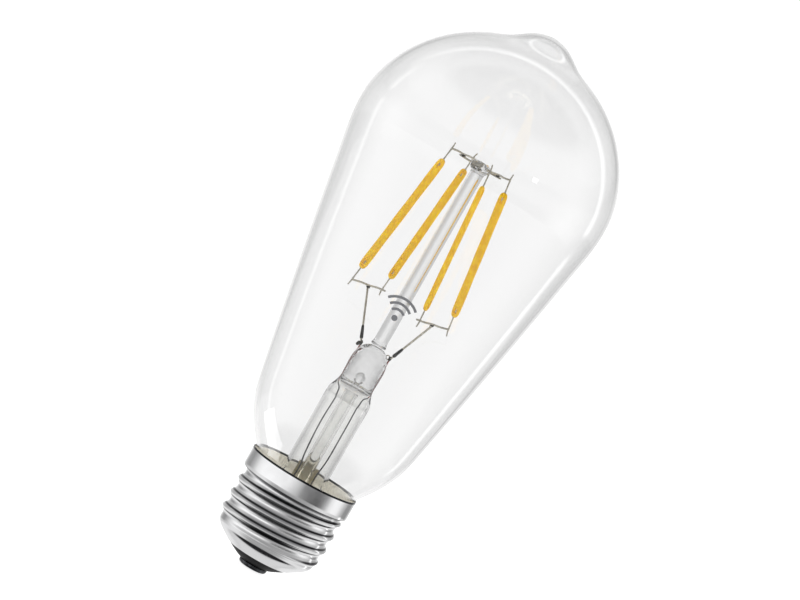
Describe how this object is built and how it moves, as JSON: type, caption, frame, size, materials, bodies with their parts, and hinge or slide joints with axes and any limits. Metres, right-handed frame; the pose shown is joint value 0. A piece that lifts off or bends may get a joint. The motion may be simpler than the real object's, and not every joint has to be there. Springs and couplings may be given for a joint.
{
  "type": "smart light bulb",
  "caption": "Smart LED filament lamp: clear ST64 glass with a rounded tip, yellow filaments on a glass stem, and a nickel E27 screw cap that holds the driver and the radio board.",
  "frame": {"origin": "middle of the flat outer face of the centre contact, on the lamp's axis", "axes": "+Z runs along the lamp's axis from the centre contact to the glass tip; +X is across the flat of the glass press; +Y is at right angles to both"},
  "size_m": [0.064, 0.064, 0.14],
  "materials": {
    "clear_glass": "smooth",
    "nickel_plate": "polished",
    "contact_metal": "satin",
    "black_insulator": "glossy",
    "nickel_wire": "satin",
    "phosphor_silicone": "satin",
    "filament_carrier": "smooth",
    "dark_iron": "satin",
    "copper_wire": "satin",
    "outer_wire": "satin",
    "tin": "satin",
    "capping_cement": "rough",
    "cream_plastic": "satin",
    "cream_laminate": "satin",
    "board_laminate": "satin",
    "module_laminate": "satin",
    "moulded_epoxy": "matte",
    "shield_can_steel": "satin",
    "capacitor_sleeve": "glossy",
    "film_case": "glossy",
    "resistor_coating": "satin",
    "ferrite": "matte",
    "red_insulation": "satin",
    "blue_insulation": "satin"
  },
  "bodies": {
    "root": {"glass_envelope": "clear_glass", "stem_flare_tube": "clear_glass", "exhaust_tube": "clear_glass", "glass_pillar": "clear_glass", "cap_shell": "nickel_plate", "centre_contact": "contact_metal", "cap_insulator": "black_insulator", "lower_bar_left": "nickel_wire", "lower_bar_right": "nickel_wire", "upper_bar_left": "nickel_wire", "upper_bar_right": "nickel_wire", "upper_anchor_wire": "nickel_wire", "inner_lead_left": "nickel_wire", "inner_lead_right": "nickel_wire", "filament_1_foot_terminal": "nickel_wire", "filament_1_top_terminal": "nickel_wire", "filament_2_foot_terminal": "nickel_wire", "filament_2_top_terminal": "nickel_wire", "filament_3_foot_terminal": "nickel_wire", "filament_3_top_terminal": "nickel_wire", "filament_4_foot_terminal": "nickel_wire", "filament_4_top_terminal": "nickel_wire", "filament_1_phosphor": "phosphor_silicone", "filament_2_phosphor": "phosphor_silicone", "filament_3_phosphor": "phosphor_silicone", "filament_4_phosphor": "phosphor_silicone", "filament_1_carrier": "filament_carrier", "filament_2_carrier": "filament_carrier", "filament_3_carrier": "filament_carrier", "filament_4_carrier": "filament_carrier", "lead_sleeve_left": "dark_iron", "lead_sleeve_right": "dark_iron", "seal_wire_left": "copper_wire", "seal_wire_right": "copper_wire", "inductor_winding": "copper_wire", "antenna_track": "copper_wire", "antenna_feed": "copper_wire", "outer_lead_left": "outer_wire", "outer_lead_right": "outer_wire", "lead_terminal_left": "tin", "lead_terminal_right": "tin", "neutral_solder": "tin", "capping_cement": "capping_cement", "insulating_cup": "cream_plastic", "antenna_board": "cream_laminate", "driver_board": "board_laminate", "radio_module_board": "module_laminate", "bridge_rectifier": "moulded_epoxy", "driver_chip": "moulded_epoxy", "module_header": "moulded_epoxy", "radio_shield_can": "shield_can_steel", "bulk_capacitor": "capacitor_sleeve", "film_capacitor": "film_case", "fusible_resistor": "resistor_coating", "inductor_core": "ferrite", "live_wire": "red_insulation", "live_link": "red_insulation", "neutral_wire": "blue_insulation"}
  },
  "joints": []
}
